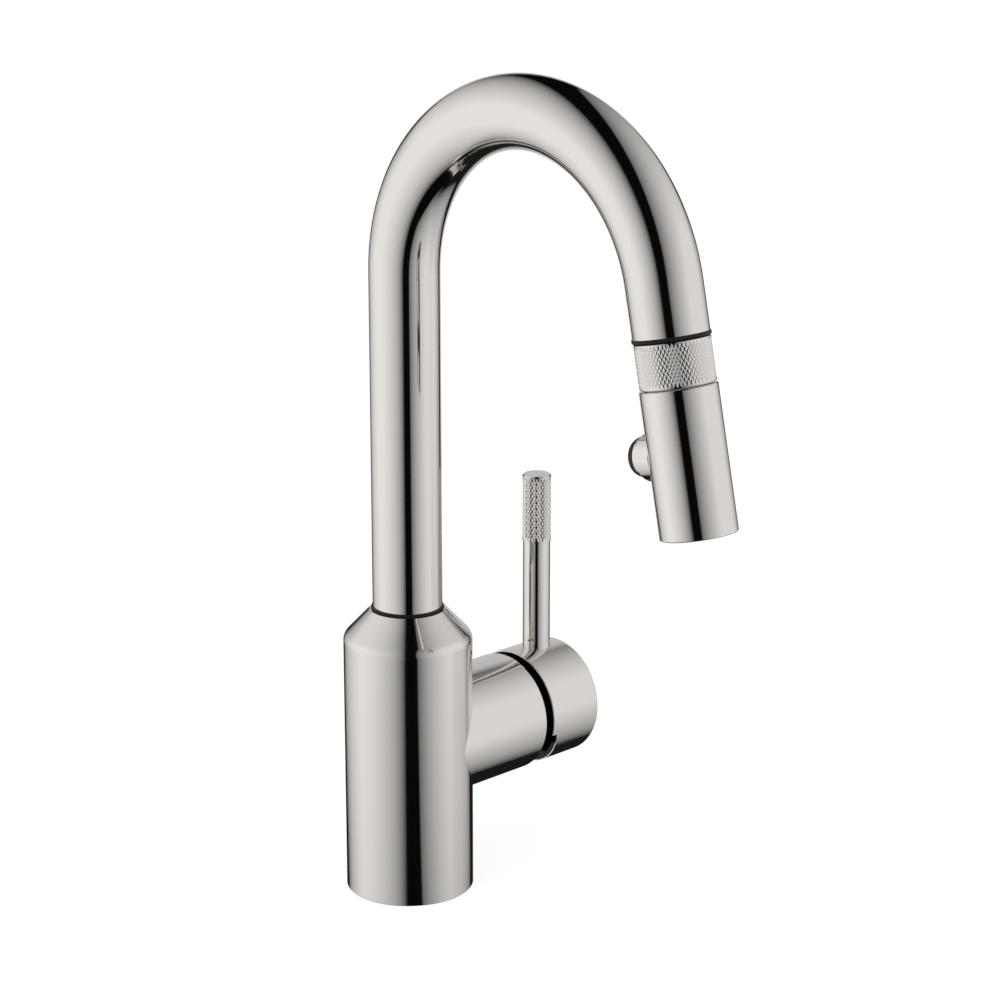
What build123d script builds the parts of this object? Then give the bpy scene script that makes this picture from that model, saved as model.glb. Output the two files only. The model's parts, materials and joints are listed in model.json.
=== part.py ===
from build123d import *
import math
import os

# Pull-down bar faucet. Millimetres and degrees, +Z up, origin on the deck at the centre of the base.
# The spout reaches towards -Y and the lever stands on the +X side.

# Driving dimensions

# Clearances
seat_gap = 0.02         # pressed, screwed or bonded fits
run_gap = 0.05          # shafts that turn in their holes
free_gap = 0.3          # pieces that pass each other

# Body
body_diameter = 50.0
shoulder_rise = 10.9
shoulder_land = 0.45
shoulder_edge_radius = 5.0
base_edge_chamfer = 0.2
handle_height = 58.26
swivel_web = 8.2        # metal between the valve pocket and the spout bore
swivel_bore_depth = 30.4
gasket_thickness = 1.5
gasket_reveal = 0.25
gasket_width = 5.0
gasket_edge = 1.0

# Spout
tube_diameter = 27.0
tube_wall = 1.25
riser_height = 131.9
arch_radius = 65.6
arch_angle = 168.0
tail_length = 17.4
swivel_angle = 60.0     # each way from straight ahead

# Spout bearings
glide_wall = 0.7
glide_depth = 7.0
glide_lip = 1.2
glide_lip_stand = 0.4    # past the tube
lower_bush_height = 7.0
lower_bush_floor = 1.5
foot_sleeve_wall = 1.5
stop_screw_diameter = 5.0
stop_dog_diameter = 3.8
stop_screw_recess = 0.6
stop_socket_size = 2.5
stop_socket_depth = 2.5

# Spray hose
hose_diameter = 11.0
hose_bore_diameter = 7.0
hose_room = 0.5
hose_below_shank = 25.0
coupling_length = 16.0
coupling_wall = 0.3

# Supply ports and shank
port_diameter = 6.92
port_depth = 10.0
port_web = 1.1
port_access = 0.58
riser_bore_diameter = 5.5
inlet_offset = 3.0
outlet_offset = 9.0
socket_depth = 18.0
shank_wall = 1.9
shank_shoulder = 0.6
shank_length = 60.0
pilot_length = 18.0     # plain length below the deck, before the thread
thread_relief = 0.3

# Deck clamp
deck_thickness = 20.0
washer_diameter = 54.0
rubber_washer_thickness = 3.0
steel_washer_thickness = 1.5
clamp_nut_diameter = 50.0
clamp_nut_height = 12.0
clamp_nut_lift = 3.5
clamp_nut_flat_count = 6
clamp_screw_count = 3
clamp_screw_diameter = 5.0
clamp_screw_head = 8.0
clamp_screw_head_height = 4.0
clamp_screw_stand = 5.0
clamp_socket_size = 4.0
clamp_socket_depth = 2.5

# Mixing cartridge, stacked outwards from the floor of its pocket
pocket_web = 2.2
cartridge_diameter = 35.0
boss_wall = 6.2
boss_rim_wall = 2.6
boss_rim_radius = 2.0
boss_lip = 1.0
cartridge_base_thickness = 6.0
seal_thickness = 1.5
seal_width = 1.6
fixed_disc_diameter = 28.0
fixed_disc_thickness = 3.5
moving_disc_diameter = 21.0
moving_disc_thickness = 3.5
disc_recess = 1.5
carrier_diameter = 20.0
carrier_width = 17.0
carrier_thickness = 5.0
carrier_floor = 0.8
turret_flange_thickness = 3.0
turret_neck_diameter = 28.0
turret_neck_length = 7.2
housing_wall = 2.4
pivot_rise = 4.2
pivot_pin_diameter = 3.0
stem_diameter = 10.0
stem_ball_diameter = 4.8
stem_neck_diameter = 3.6
stem_slot_height = 17.0
nut_thickness = 6.0
nut_bore_margin = 0.6
nut_slot_width = 4.0
nut_slot_depth = 2.0
bonnet_flange_thickness = 3.3
bonnet_wall = 3.0
bonnet_reach = 4.0

# Lever handle
tilt_angle = 17.0
seam_gap = 3.0
cap_length = 25.6
cap_wall = 2.0
cap_edge_radius = 0.9
cap_rim_radius = 0.35
cap_swing_room = 1.2
relief_drop = 6.0       # from the handle's axis down to the ledge of the cap's relief
relief_step = 2.2
relief_slope = 14.0
lever_setback = 12.0
lever_diameter = 11.0
lever_length = 95.9     # from the handle's axis
lever_foot = 1.5
grip_diameter = 11.6
grip_length = 27.5
grip_chamfer = 0.6
grip_spigot_diameter = 7.0
grip_cover = 6.0
stem_overrun = 6.0
handle_screw_diameter = 5.0
handle_screw_length = 8.0
handle_socket_size = 2.5
handle_socket_depth = 2.5

# Spray head, stacked downwards from the end of the spout
dock_lip = 0.3
dock_lip_thickness = 1.3
dock_wall = 1.4
dock_setback = 1.0
dock_gap = 0.5
dock_seam = 0.2
collar_setback = 2.0
collar_room = 0.7
collar_chamfer = 1.5
collar_flange_thickness = 3.0
ring_diameter = 26.9
ring_length = 16.0
ring_wall = 1.75
ring_lip_thickness = 1.5
ring_chamfer = 0.35
shell_seam = 0.4
shell_diameter = 27.5
shell_length = 51.8
shell_wall = 1.2
shell_chamfer = 0.3
ferrule_wall = 1.15
ferrule_length = 12.0
spindle_flange = 2.0
spindle_diameter = 8.0
spindle_head_diameter = 12.6
spindle_head_thickness = 2.5
spindle_nose_diameter = 7.0
spindle_nose_length = 7.2
spindle_bore_diameter = 4.4
o_ring_section = 1.7
o_ring_groove_depth = 0.15
swivel_nut_diameter = 17.8
swivel_nut_height = 6.0
valve_diameter = 11.9
valve_length = 10.0
valve_rib = 1.2
core_room_below = 2.2
waterway_diameter = 6.0
face_recess = 1.0
face_thickness = 2.5
pad_thickness = 3.0
nozzle_diameter = 1.6
nozzle_stand = 0.5
nozzle_ring_count = 2   # evenly between the aerator and the shell
inner_nozzle_count = 10
outer_nozzle_count = 15
aerator_diameter = 9.2
aerator_rim = 1.0
aerator_hole_diameter = 2.2
aerator_hole_count = 6  # in a ring round the middle hole

# Spray button, on the side of the head that faces the body
button_drop = 23.9      # from the top of the shell
button_diameter = 14.4
button_reach = 24.2     # from the head's axis to the top of the dome
button_dome = 1.6
button_edge_radius = 3.6
button_flange = 0.7
button_flange_thickness = 1.2
button_travel = 3.0
button_skin = 2.6
bezel_width = 1.2
bezel_reach = 16.9
bezel_seat = 11.0
bezel_step = 13.6
spool_diameter = 5.0
spool_overrun = 5.0
spring_wire = 0.7
spring_diameter = 7.6
spring_turn_count = 5

# Values that follow from the driving dimensions

body_r = body_diameter / 2
tube_r = tube_diameter / 2
tube_bore_r = tube_r - tube_wall
hose_r = hose_diameter / 2
hose_bore_r = hose_bore_diameter / 2
hose_way_r = hose_r + hose_room
port_r = port_diameter / 2
riser_r = riser_bore_diameter / 2
port_ring_r = hose_way_r + port_web + port_r
shank_bore_r = port_ring_r + port_r + port_access
shank_r = shank_bore_r + shank_wall
spigot_r = shank_r - shank_shoulder
socket_floor_z = gasket_reveal + socket_depth

cartridge_r = cartridge_diameter / 2
pocket_r = cartridge_r + run_gap
boss_r = pocket_r + boss_wall
pocket_floor_x = port_ring_r + riser_r + pocket_web
base_x = pocket_floor_x + cartridge_base_thickness
fixed_disc_x = base_x + fixed_disc_thickness
moving_disc_x = fixed_disc_x + seat_gap
carrier_x = moving_disc_x + moving_disc_thickness
carrier_top_x = carrier_x + carrier_thickness
turret_x = carrier_top_x + free_gap
turret_shoulder_x = turret_x + turret_flange_thickness
turret_top_x = turret_shoulder_x + turret_neck_length
nut_x = turret_top_x + seat_gap
bonnet_x = nut_x + nut_thickness
boss_end_x = bonnet_x + bonnet_flange_thickness + boss_lip
pivot_x = turret_shoulder_x + pivot_rise
pivot_pin_r = pivot_pin_diameter / 2
stem_r = stem_diameter / 2
ball_r = stem_ball_diameter / 2
turret_neck_r = turret_neck_diameter / 2
housing_neck_r = turret_neck_r + run_gap
housing_bore_r = cartridge_r - housing_wall
turret_flange_r = housing_bore_r - free_gap
leg_inner_y = carrier_width / 2 + free_gap
bonnet_seat_r = boss_r - boss_rim_wall
bonnet_r = bonnet_seat_r - free_gap
bonnet_sphere_r = math.hypot(boss_end_x - pivot_x, bonnet_r)
bonnet_front_x = boss_end_x + bonnet_reach
bonnet_front_r = math.sqrt(bonnet_sphere_r ** 2 - (bonnet_front_x - pivot_x) ** 2)

tilt = math.radians(tilt_angle)
cap_r = boss_r
cap_x = boss_end_x + seam_gap
cap_end_x = cap_x + cap_length
cap_floor_x = (pivot_x + cap_swing_room + (bonnet_front_x - pivot_x) * math.cos(tilt)
               + bonnet_front_r * math.sin(tilt))
lever_x = cap_end_x - lever_setback
lever_r = lever_diameter / 2
handle_screw_r = handle_screw_diameter / 2
stem_end_x = lever_x + stem_overrun
lever_foot_z = handle_height + stem_r + lever_foot
lever_top_z = handle_height + lever_length
grip_z = lever_top_z - grip_length

swivel_floor_z = handle_height + pocket_r + swivel_web
body_top_z = swivel_floor_z + swivel_bore_depth
body_side_z = body_top_z - shoulder_rise
swivel_bore_r = tube_r + run_gap + glide_wall
tube_foot_z = swivel_floor_z + lower_bush_floor + seat_gap
arch_z = body_top_z + riser_height
foot_sleeve_r = tube_bore_r - seat_gap
foot_sleeve_top_z = body_top_z - glide_depth
stop_z = (swivel_floor_z + lower_bush_height + foot_sleeve_top_z) / 2
stop_screw_r = stop_screw_diameter / 2
stop_dog_r = stop_dog_diameter / 2
stop_tip_y = tube_bore_r + free_gap

turn = math.radians(arch_angle)
tail_start = Vector(0, arch_radius * (math.cos(turn) - 1), arch_z + arch_radius * math.sin(turn))
tail_direction = Vector(0, -math.sin(turn), math.cos(turn))
spout_end = tail_start + tail_direction * tail_length

dock_depth = tail_length - dock_setback
dock_bore_r = tube_bore_r - seat_gap - dock_wall
ring_r = ring_diameter / 2
ring_u = dock_lip_thickness + dock_seam
ring_end_u = ring_u + ring_length
ring_bore_r = ring_r - ring_wall
ferrule_r = hose_r + run_gap + ferrule_wall
collar_bore_r = ferrule_r + collar_room
docking_r = dock_bore_r - dock_gap
collar_top_u = collar_setback - dock_depth
core_u = ring_u + ring_lip_thickness + collar_flange_thickness
shell_r = shell_diameter / 2
shell_bore_r = shell_r - shell_wall
shell_u = ring_end_u + shell_seam
shell_end_u = shell_u + shell_length
spindle_r = spindle_diameter / 2
swivel_nut_r = swivel_nut_diameter / 2
spindle_head_u = core_u + swivel_nut_height + free_gap
spindle_nose_u = spindle_head_u + spindle_head_thickness
spindle_end_u = spindle_nose_u + spindle_nose_length
socket_end_u = spindle_nose_u + core_room_below
nose_r = spindle_nose_diameter / 2
o_ring_u = (socket_end_u + spindle_end_u) / 2
groove_r = nose_r - o_ring_groove_depth
o_ring_r = groove_r + run_gap + o_ring_section / 2
nose_bore_r = o_ring_r + o_ring_section / 2 + run_gap
valve_r = valve_diameter / 2
valve_u = spindle_end_u + core_room_below
face_end_u = shell_end_u - face_recess
face_u = face_end_u - face_thickness
pad_u = face_u - pad_thickness
nozzle_r = nozzle_diameter / 2
aerator_r = aerator_diameter / 2
nozzle_ring_step = (shell_bore_r - aerator_r) / (nozzle_ring_count + 1)
inner_nozzle_ring = aerator_r + nozzle_ring_step
outer_nozzle_ring = inner_nozzle_ring + nozzle_ring_step
button_u = shell_u + button_drop
button_r = button_diameter / 2
bezel_bore_r = button_r + free_gap
bezel_r = bezel_bore_r + bezel_width
button_flange_r = button_r + button_flange
flange_room_r = button_flange_r + free_gap
button_foot = bezel_step - free_gap - button_flange_thickness
button_pocket = button_foot - button_travel - free_gap
button_roof = button_reach - button_dome - button_skin
spool_r = spool_diameter / 2
spool_tip = button_pocket - spool_overrun - button_travel * 2
spring_r = spring_diameter / 2

washer_bore_r = shank_r + free_gap
washer_r = washer_diameter / 2
rubber_z = -deck_thickness
steel_z = rubber_z - rubber_washer_thickness
nut_top_z = steel_z - steel_washer_thickness - clamp_nut_lift
nut_low_z = nut_top_z - clamp_nut_height
clamp_screw_r = clamp_screw_diameter / 2
clamp_screw_ring = (washer_bore_r + clamp_nut_diameter / 2) / 2
shank_end_z = -shank_length
hose_end_z = shank_end_z - hose_below_shank

spare = 1.0             # how far a cutting tool runs past the face it cuts
upright = (Align.CENTER, Align.CENTER, Align.MIN)

# Shared shapes and placements

valve_axis = Location((0, 0, handle_height), (0, 90, 0))
head_axis = Location(Plane(origin=spout_end, x_dir=(1, 0, 0), z_dir=tail_direction))
to_back = Rot(90, 0, 0)         # turns a piece that stands along +Z towards -Y


def bar(radius, low, high):
    return Pos(0, 0, low) * Cylinder(radius, high - low, align=upright)


def pipe(outer, inner, low, high):
    return bar(outer, low, high) - bar(inner, low - spare, high + spare)


def turned(points):
    outline = make_face(Plane.XZ * Polyline(*points, close=True))
    return revolve(outline, Axis.Z)


def cross_bar(radius, start, end):
    return valve_axis * bar(radius, start, end)


def button_bar(radius, low, high):
    return Pos(0, 0, button_u) * (to_back * bar(radius, low, high))


def hex_socket(size, depth):
    return extrude(RegularPolygon(size / 2, 6, major_radius=False), depth)


def spout_path(low_z):
    riser = Edge.make_line(Vector(0, 0, low_z), Vector(0, 0, arch_z))
    middle = turn / 2
    crown = Vector(0, arch_radius * (math.cos(middle) - 1), arch_z + arch_radius * math.sin(middle))
    arch = Edge.make_three_point_arc(Vector(0, 0, arch_z), crown, tail_start)
    tail = Edge.make_line(tail_start, spout_end)
    return Wire([riser, arch, tail])


def swept(outer, inner, low_z):
    section = Plane.XY.offset(low_z) * (Circle(outer) - Circle(inner))
    return sweep(section, path=spout_path(low_z))


def port_places():
    outlet = (port_ring_r, 0)
    cold = (0, -port_ring_r)
    hot = (0, port_ring_r)
    return outlet, cold, hot


def port_heights():
    outlet = handle_height - outlet_offset
    inlet = handle_height + inlet_offset
    return outlet, inlet, inlet


# Body, shank and deck clamp


def make_body_casting():
    side = make_face(Plane.XZ * Polyline(
        (0, gasket_reveal), (body_r, gasket_reveal), (body_r, body_side_z),
        (swivel_bore_r + shoulder_land, body_top_z), (0, body_top_z), close=True))
    corners = side.vertices()
    side = fillet(corners.sort_by_distance((body_r, 0, body_side_z))[0], shoulder_edge_radius)
    corners = side.vertices()
    side = chamfer(corners.sort_by_distance((body_r, 0, gasket_reveal))[0], base_edge_chamfer)
    boss = cross_bar(boss_r, 0, boss_end_x)
    rim = boss.edges().filter_by(GeomType.CIRCLE).sort_by(Axis.X)[-1]
    casting = revolve(side, Axis.Z) + fillet(rim, boss_rim_radius)
    casting -= cross_bar(pocket_r, pocket_floor_x, boss_end_x + spare)
    casting -= cross_bar(bonnet_seat_r, bonnet_x, boss_end_x + spare)
    casting -= bar(swivel_bore_r, swivel_floor_z, body_top_z + spare)
    casting -= bar(hose_way_r, 0, body_top_z)
    casting -= bar(spigot_r + seat_gap, 0, socket_floor_z)
    gasket_r = body_r - gasket_edge
    casting -= pipe(gasket_r + seat_gap, gasket_r - gasket_width - seat_gap, 0, gasket_thickness)
    for (x, y), height in zip(port_places(), port_heights()):
        casting -= Pos(x, y, 0) * bar(port_r, socket_floor_z - spare, socket_floor_z + port_depth)
        casting -= Pos(x, y, 0) * bar(riser_r, socket_floor_z, height + riser_r)
        drilling = Location((x, y, height), (0, 90, 0)) * bar(riser_r, 0, pocket_floor_x - x + spare)
        casting -= drilling
    stop_hole = to_back * bar(stop_screw_r + seat_gap, 0, body_r)
    return casting - Pos(0, body_r + spare, stop_z) * stop_hole


def make_base_gasket():
    gasket_r = body_r - gasket_edge
    return pipe(gasket_r, gasket_r - gasket_width, 0, gasket_thickness)


def make_mounting_shank():
    thread_r = shank_r - thread_relief
    return turned([(shank_bore_r, shank_end_z), (thread_r, shank_end_z), (thread_r, -pilot_length),
                   (shank_r, -pilot_length), (shank_r, 0), (spigot_r, 0), (spigot_r, socket_floor_z),
                   (shank_bore_r, socket_floor_z)])


def make_stop_screw():
    shank_top = body_r - stop_screw_recess
    shank_low = swivel_bore_r + free_gap
    screw = bar(stop_screw_r, shank_low, shank_top) + bar(stop_dog_r, stop_tip_y, shank_top)
    socket_low = shank_top - stop_socket_depth
    screw -= Pos(0, 0, socket_low) * hex_socket(stop_socket_size, stop_socket_depth + spare)
    return Pos(0, 0, stop_z) * (Rot(-90, 0, 0) * screw)


def make_lower_bush():
    top = swivel_floor_z + lower_bush_height
    floor_top = swivel_floor_z + lower_bush_floor
    outer = swivel_bore_r - seat_gap
    bearing_r = tube_r + run_gap
    hole_r = hose_way_r + free_gap
    return turned([(hole_r, swivel_floor_z), (outer, swivel_floor_z), (outer, top), (bearing_r, top),
                   (bearing_r, floor_top), (hole_r, floor_top)])


def make_glide_ring():
    outer = swivel_bore_r - seat_gap
    lip_r = tube_r + glide_lip_stand
    inner = tube_r + run_gap
    low = body_top_z - glide_depth
    top = body_top_z + glide_lip
    return turned([(inner, low), (outer, low), (outer, body_top_z), (lip_r, body_top_z), (lip_r, top),
                   (inner, top)])


def make_rubber_washer():
    return pipe(washer_r, washer_bore_r, steel_z, rubber_z)


def make_steel_washer():
    return pipe(washer_r, washer_bore_r, steel_z - steel_washer_thickness, steel_z)


def clamp_screw_places():
    return PolarLocations(clamp_screw_ring, clamp_screw_count)


def make_mounting_nut():
    blank = Pos(0, 0, nut_low_z) * extrude(
        RegularPolygon(clamp_nut_diameter / 2, clamp_nut_flat_count), clamp_nut_height)
    nut = blank - bar(washer_bore_r, nut_low_z - spare, nut_top_z + spare)
    for place in clamp_screw_places():
        nut -= place * bar(clamp_screw_r + seat_gap, nut_low_z - spare, nut_top_z + spare)
    return nut


def make_clamp_screws():
    tip = steel_z - steel_washer_thickness
    head_top = nut_low_z - clamp_screw_stand
    head_low = head_top - clamp_screw_head_height
    screw = bar(clamp_screw_r, head_top, tip) + bar(clamp_screw_head / 2, head_low, head_top)
    screw -= Pos(0, 0, head_low - spare) * hex_socket(clamp_socket_size, clamp_socket_depth + spare)
    return Compound([place * screw for place in clamp_screw_places()])


# Mixing cartridge


def port_cuts(radius, start, end):
    cuts = []
    for (x, y), height in zip(port_places(), port_heights()):
        cuts.append(Location((0, y, height), (0, 90, 0)) * bar(radius, start, end))
    return cuts


def make_cartridge_seals():
    discs = port_cuts(riser_r + seal_width, pocket_floor_x, pocket_floor_x + seal_thickness)
    holes = port_cuts(riser_r, pocket_floor_x - spare, base_x)
    return Compound([disc - hole for disc, hole in zip(discs, holes)])


def make_cartridge_base():
    base = cross_bar(cartridge_r, pocket_floor_x, base_x)
    for hole in port_cuts(riser_r, pocket_floor_x - spare, base_x + spare):
        base -= hole
    seat = riser_r + seal_width + seat_gap
    for hole in port_cuts(seat, pocket_floor_x - spare, pocket_floor_x + seal_thickness):
        base -= hole
    return base


def make_fixed_disc():
    disc = cross_bar(fixed_disc_diameter / 2, base_x, fixed_disc_x)
    for hole in port_cuts(riser_r, base_x - spare, fixed_disc_x + spare):
        disc -= hole
    return disc


def make_cartridge_housing():
    housing = cross_bar(cartridge_r, base_x, turret_top_x)
    housing -= cross_bar(housing_bore_r, base_x - spare, turret_shoulder_x + free_gap)
    return housing - cross_bar(housing_neck_r, base_x, turret_top_x + spare)


def make_moving_disc():
    disc = cross_bar(moving_disc_diameter / 2, moving_disc_x, carrier_x)
    mixing_recess = cross_bar(moving_disc_diameter / 2 - moving_disc_thickness, moving_disc_x - spare,
                              moving_disc_x + disc_recess)
    return disc - mixing_recess


def make_disc_carrier():
    block = cross_bar(carrier_diameter / 2, carrier_x, carrier_top_x)
    block &= Pos(carrier_x + carrier_thickness / 2, 0, handle_height) * Box(
        carrier_thickness * 2, carrier_width, carrier_diameter * 2)
    socket_r = ball_r + free_gap / 2
    return block - cross_bar(socket_r, carrier_x + carrier_floor, carrier_top_x + spare)


def make_turret():
    turret = cross_bar(turret_flange_r, turret_x, turret_shoulder_x)
    turret += cross_bar(turret_neck_r, turret_shoulder_x, turret_top_x)
    legs = cross_bar(turret_flange_r, carrier_x + free_gap, turret_x)
    reach = turret_flange_r * 2
    legs -= Pos(carrier_x, 0, handle_height) * Box(reach * 2, leg_inner_y * 2, reach * 2)
    turret += legs
    slot = Pos(pivot_x, 0, handle_height) * Box(reach * 2, stem_diameter + free_gap * 2, stem_slot_height)
    pin_hole = to_back * bar(pivot_pin_r + seat_gap, 0, reach * 2)
    return turret - slot - Pos(pivot_x, reach, handle_height) * pin_hole


def make_pivot_pin():
    half = math.sqrt(turret_neck_r ** 2 - pivot_pin_r ** 2) - free_gap
    return Pos(pivot_x, half, handle_height) * (to_back * bar(pivot_pin_r, 0, half * 2))


def make_valve_stem():
    ball_x = carrier_x + carrier_floor + free_gap + ball_r
    shaft_x = turret_x + turret_flange_thickness / 2
    stem = Pos(ball_x, 0, handle_height) * Sphere(ball_r)
    stem += cross_bar(stem_neck_diameter / 2, ball_x, shaft_x + spare)
    stem += cross_bar(stem_r, shaft_x, stem_end_x)
    pin_hole = to_back * bar(pivot_pin_r + run_gap, 0, stem_diameter * 2)
    return stem - Pos(pivot_x, stem_diameter, handle_height) * pin_hole


def make_cartridge_nut():
    inner = turret_neck_r + nut_bore_margin
    nut = cross_bar(cartridge_r, nut_x, bonnet_x) - cross_bar(inner, nut_x - spare, bonnet_x + spare)
    slot = Box(nut_slot_depth * 2, cartridge_diameter + spare, nut_slot_width)
    for angle in (0, 90):
        nut -= Pos(bonnet_x, 0, handle_height) * (Rot(angle, 0, 0) * slot)
    return nut


def make_bonnet_ring():
    seat_end = boss_end_x - boss_lip
    inner = bonnet_front_r - bonnet_wall
    middle_x = (boss_end_x + bonnet_front_x) / 2
    middle_r = math.sqrt(bonnet_sphere_r ** 2 - (middle_x - pivot_x) ** 2)
    dome = ThreePointArc((bonnet_r, boss_end_x), (middle_r, middle_x), (bonnet_front_r, bonnet_front_x))
    rest = Polyline((bonnet_front_r, bonnet_front_x), (inner, bonnet_front_x), (inner, bonnet_x),
                    (bonnet_seat_r - seat_gap, bonnet_x), (bonnet_seat_r - seat_gap, seat_end),
                    (bonnet_r, seat_end), (bonnet_r, boss_end_x))
    return valve_axis * revolve(Plane.XZ * make_face([dome, rest]), Axis.Z)


# Lever handle


def make_handle_cap():
    cap = cross_bar(cap_r, cap_x, cap_end_x)
    edges = cap.edges().filter_by(GeomType.CIRCLE).sort_by(Axis.X)
    cap = fillet(edges[-1], cap_edge_radius)
    cap = fillet(cap.edges().filter_by(GeomType.CIRCLE).sort_by(Axis.X)[0], cap_rim_radius)
    cap -= cross_bar(cap_r - cap_wall, cap_x - spare, cap_floor_x)
    cap -= cross_bar(stem_r + seat_gap, cap_x, stem_end_x + seat_gap)
    low_z = handle_height - cap_r - spare
    high_z = handle_height + cap_r + spare
    cap -= Pos(lever_x, 0, 0) * bar(lever_r + seat_gap, lever_foot_z, high_z)
    cap -= Pos(lever_x, 0, 0) * bar(handle_screw_r + seat_gap, low_z, handle_height)
    ledge_z = handle_height - relief_drop
    ledge_x = cap_x + relief_step
    low_x = ledge_x + (ledge_z - low_z) * math.tan(math.radians(relief_slope))
    relief = make_face(Plane.XZ * Polyline(
        (cap_x - spare, ledge_z), (ledge_x, ledge_z), (low_x, low_z), (cap_x - spare, low_z), close=True))
    return cap - extrude(relief, cap_r + spare, both=True)


def make_lever_rod():
    rod = bar(lever_r, lever_foot_z, grip_z)
    rod += bar(grip_spigot_diameter / 2, grip_z, lever_top_z - grip_cover)
    return Pos(lever_x, 0, 0) * rod


def make_lever_grip():
    grip = bar(grip_diameter / 2, grip_z, lever_top_z)
    rims = grip.edges().filter_by(GeomType.CIRCLE)
    grip = chamfer(rims.sort_by(Axis.Z)[-1], grip_chamfer)
    grip -= bar(grip_spigot_diameter / 2 + seat_gap, grip_z - spare, lever_top_z - grip_cover + seat_gap)
    return Pos(lever_x, 0, 0) * grip


def make_handle_screw():
    top = handle_height - stem_r - seat_gap
    low = top - handle_screw_length
    screw = bar(handle_screw_r, low, top)
    screw -= Pos(0, 0, low - spare) * hex_socket(handle_socket_size, handle_socket_depth + spare)
    return Pos(lever_x, 0, 0) * screw


# Spout and hose


def stop_window():
    reach = swivel_angle + math.degrees(math.asin((stop_dog_r + free_gap) / tube_bore_r))
    low = stop_z - stop_dog_r - free_gap
    high = stop_z + stop_dog_r + free_gap
    inner = tube_bore_r - spare
    outer = tube_r + spare
    slot = make_face(Plane.XZ * Polyline(
        (inner, low), (outer, low), (outer, high), (inner, high), close=True))
    return Rot(0, 0, 90 - reach) * revolve(slot, Axis.Z, revolution_arc=reach * 2)


def make_spout_tube():
    return swept(tube_r, tube_bore_r, tube_foot_z) - stop_window()


def make_foot_sleeve():
    return pipe(foot_sleeve_r, foot_sleeve_r - foot_sleeve_wall, tube_foot_z, foot_sleeve_top_z)


def make_dock_sleeve():
    outer = tube_bore_r - seat_gap
    lip_r = tube_r + dock_lip
    return head_axis * turned([(dock_bore_r, -dock_depth), (outer, -dock_depth), (outer, 0), (lip_r, 0),
                               (lip_r, dock_lip_thickness), (dock_bore_r, dock_lip_thickness)])


def make_spray_hose():
    return swept(hose_r, hose_bore_r, hose_end_z)


def make_hose_coupling():
    outer = hose_r + coupling_wall
    low = hose_end_z - coupling_length
    return pipe(outer, hose_bore_r, low, hose_end_z)


# Swivelling end of the hose


def make_hose_ferrule():
    return head_axis * pipe(ferrule_r, hose_r + run_gap, -ferrule_length, 0)


def make_hose_spindle():
    groove_half = o_ring_section / 2 + seat_gap
    nipple_r = hose_bore_r - free_gap
    bore_r = spindle_bore_diameter / 2
    spindle = turned([
        (bore_r, -ferrule_length), (nipple_r, -ferrule_length), (nipple_r, 0), (ferrule_r, 0),
        (ferrule_r, spindle_flange), (spindle_r, spindle_flange), (spindle_r, spindle_head_u),
        (spindle_head_diameter / 2, spindle_head_u), (spindle_head_diameter / 2, spindle_nose_u),
        (nose_r, spindle_nose_u), (nose_r, o_ring_u - groove_half), (groove_r, o_ring_u - groove_half),
        (groove_r, o_ring_u + groove_half), (nose_r, o_ring_u + groove_half), (nose_r, spindle_end_u),
        (bore_r, spindle_end_u)])
    return head_axis * spindle


def make_spindle_o_ring():
    return head_axis * (Pos(0, 0, o_ring_u) * Torus(o_ring_r, o_ring_section / 2))


# Spray head


def make_docking_collar():
    flange_u = ring_u + ring_lip_thickness
    flange_r = ring_bore_r - seat_gap
    collar = turned([(collar_bore_r, collar_top_u), (docking_r - collar_chamfer, collar_top_u),
                     (docking_r, collar_top_u + collar_chamfer), (docking_r, flange_u),
                     (flange_r, flange_u), (flange_r, core_u), (collar_bore_r, core_u)])
    return head_axis * collar


def make_grip_ring():
    lip_bore_r = docking_r + seat_gap
    lip_end_u = ring_u + ring_lip_thickness
    ring = turned([(lip_bore_r, ring_u), (ring_r - ring_chamfer, ring_u), (ring_r, ring_u + ring_chamfer),
                   (ring_r, ring_end_u - ring_chamfer), (ring_r - ring_chamfer, ring_end_u),
                   (ring_bore_r, ring_end_u), (ring_bore_r, lip_end_u), (lip_bore_r, lip_end_u)])
    return head_axis * ring


def make_swivel_nut():
    nut = pipe(swivel_nut_r, spindle_r + run_gap, core_u, core_u + swivel_nut_height)
    return head_axis * nut


def make_head_core():
    neck_r = ring_bore_r - seat_gap
    body_bore_r = shell_bore_r - seat_gap
    core = bar(neck_r, core_u, shell_u) + bar(body_bore_r, shell_u, pad_u)
    core -= bar(swivel_nut_r + seat_gap, core_u - spare, socket_end_u)
    core -= bar(nose_bore_r, core_u, valve_u)
    core -= bar(valve_r + seat_gap, valve_u, valve_u + valve_length + seat_gap)
    core -= bar(waterway_diameter / 2, core_u, pad_u + spare)
    core -= button_bar(bezel_r + seat_gap, bezel_seat, shell_r)
    core -= button_bar(flange_room_r, button_pocket, shell_r)
    core -= button_bar(spool_r + free_gap, spool_tip, shell_r)
    return head_axis * core


def make_check_valve():
    valve = pipe(valve_r, waterway_diameter / 2, valve_u, valve_u + valve_length)
    rib = Box(waterway_diameter + spare, valve_rib, valve_length / 2)
    return head_axis * (valve + Pos(0, 0, valve_u + valve_length / 2) * rib)


def make_head_shell():
    shell = turned([(shell_bore_r, shell_u), (shell_r - shell_chamfer, shell_u),
                    (shell_r, shell_u + shell_chamfer), (shell_r, shell_end_u - shell_chamfer),
                    (shell_r - shell_chamfer, shell_end_u), (shell_bore_r, shell_end_u)])
    return head_axis * (shell - button_bar(bezel_r + seat_gap, 0, shell_diameter))


def nozzle_places():
    inner = list(PolarLocations(inner_nozzle_ring, inner_nozzle_count))
    outer = list(PolarLocations(outer_nozzle_ring, outer_nozzle_count))
    return inner + outer


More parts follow.
